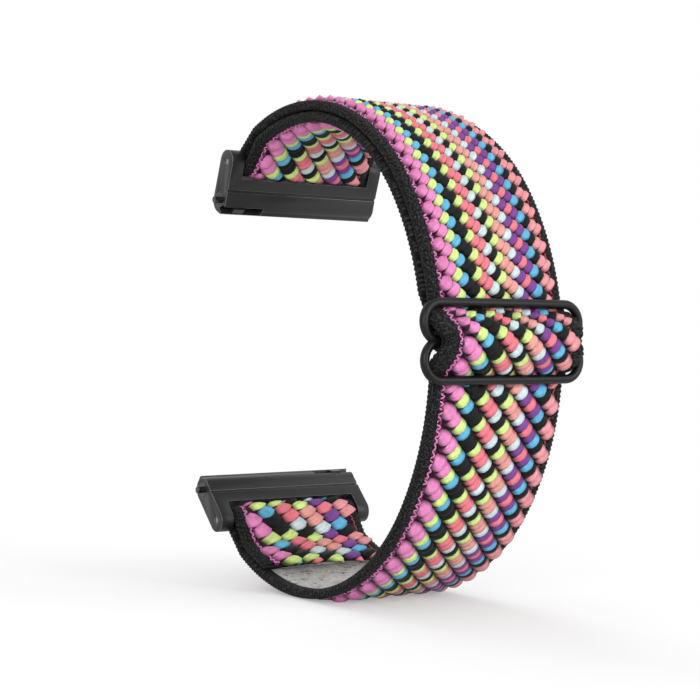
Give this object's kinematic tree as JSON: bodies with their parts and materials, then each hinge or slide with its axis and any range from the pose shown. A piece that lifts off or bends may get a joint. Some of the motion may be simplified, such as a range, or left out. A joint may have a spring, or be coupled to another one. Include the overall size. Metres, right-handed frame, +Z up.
{
  "type": "watch band",
  "caption": "Stretch braided watch band with a slider for its length and a quick-release lug connector on each end.",
  "frame": {"origin": "middle of the flat on which the loop stands, half way across the band", "axes": "+X across the band, +Y towards the gap where the watch goes, +Z up from the single layer to the doubled layer"},
  "size_m": [0.0236, 0.0488, 0.0581],
  "materials": {
    "webbing": "braided nylon cords in many colours on a grey elastic base, black ribbed edges",
    "thread": "matt sewing thread",
    "slider_rod": "semi-gloss black",
    "connector_metal": "satin gunmetal",
    "bright_steel": "plain steel"
  },
  "bodies": {
    "strap": {"single_layer": "webbing", "single_layer_feed": "webbing", "outer_layer": "webbing", "outer_layer_feed": "webbing", "inner_layer": "webbing", "inner_layer_feed": "webbing", "top_pin_fold": "webbing", "bottom_pin_fold": "webbing", "folded_tail": "webbing", "tail_stitching": "thread"},
    "slider": {"slider_frame": "slider_rod", "strap_over_bar": "webbing", "sewn_end": "webbing", "sewn_end_stitching": "thread"},
    "top_connector_body": {"top_connector": "connector_metal", "top_strap_pin": "bright_steel", "top_bar_tube": "bright_steel", "top_fixed_tip": "bright_steel", "top_bar_spring": "bright_steel"},
    "top_release": {"top_sprung_tip": "bright_steel", "top_release_lever": "connector_metal"},
    "bottom_connector_body": {"bottom_connector": "connector_metal", "bottom_strap_pin": "bright_steel", "bottom_bar_tube": "bright_steel", "bottom_fixed_tip": "bright_steel", "bottom_bar_spring": "bright_steel"},
    "bottom_release": {"bottom_sprung_tip": "bright_steel", "bottom_release_lever": "connector_metal"}
  },
  "joints": [
    {"name": "slider_travel", "type": "hinge", "parent": "strap", "child": "slider", "pos_m": [0, 0.00557, 0.0288], "axis": [1, 0, 0], "range_deg": [-22, 25], "deforming": ["single_layer_feed", "outer_layer_feed", "inner_layer_feed"]},
    {"name": "top_connector_swing", "type": "hinge", "parent": "strap", "child": "top_connector_body", "pos_m": [0, 0.01225, 0.05157], "axis": [1, 0, 0], "range_deg": [-25, 75]},
    {"name": "bottom_connector_swing", "type": "hinge", "parent": "strap", "child": "bottom_connector_body", "pos_m": [0, 0.01476, 0.00792], "axis": [1, 0, 0], "range_deg": [-60, 50]},
    {"name": "top_release_slide", "type": "slide", "parent": "top_connector_body", "child": "top_release", "axis": [1, 0, 0], "range_m": [0, 0.0012], "stiffness_N_per_m": 300, "springref_m": -0.001, "deforming": ["top_bar_spring"]},
    {"name": "bottom_release_slide", "type": "slide", "parent": "bottom_connector_body", "child": "bottom_release", "axis": [-1, 0, 0], "range_m": [0, 0.0012], "stiffness_N_per_m": 300, "springref_m": -0.001, "deforming": ["bottom_bar_spring"]}
  ]
}
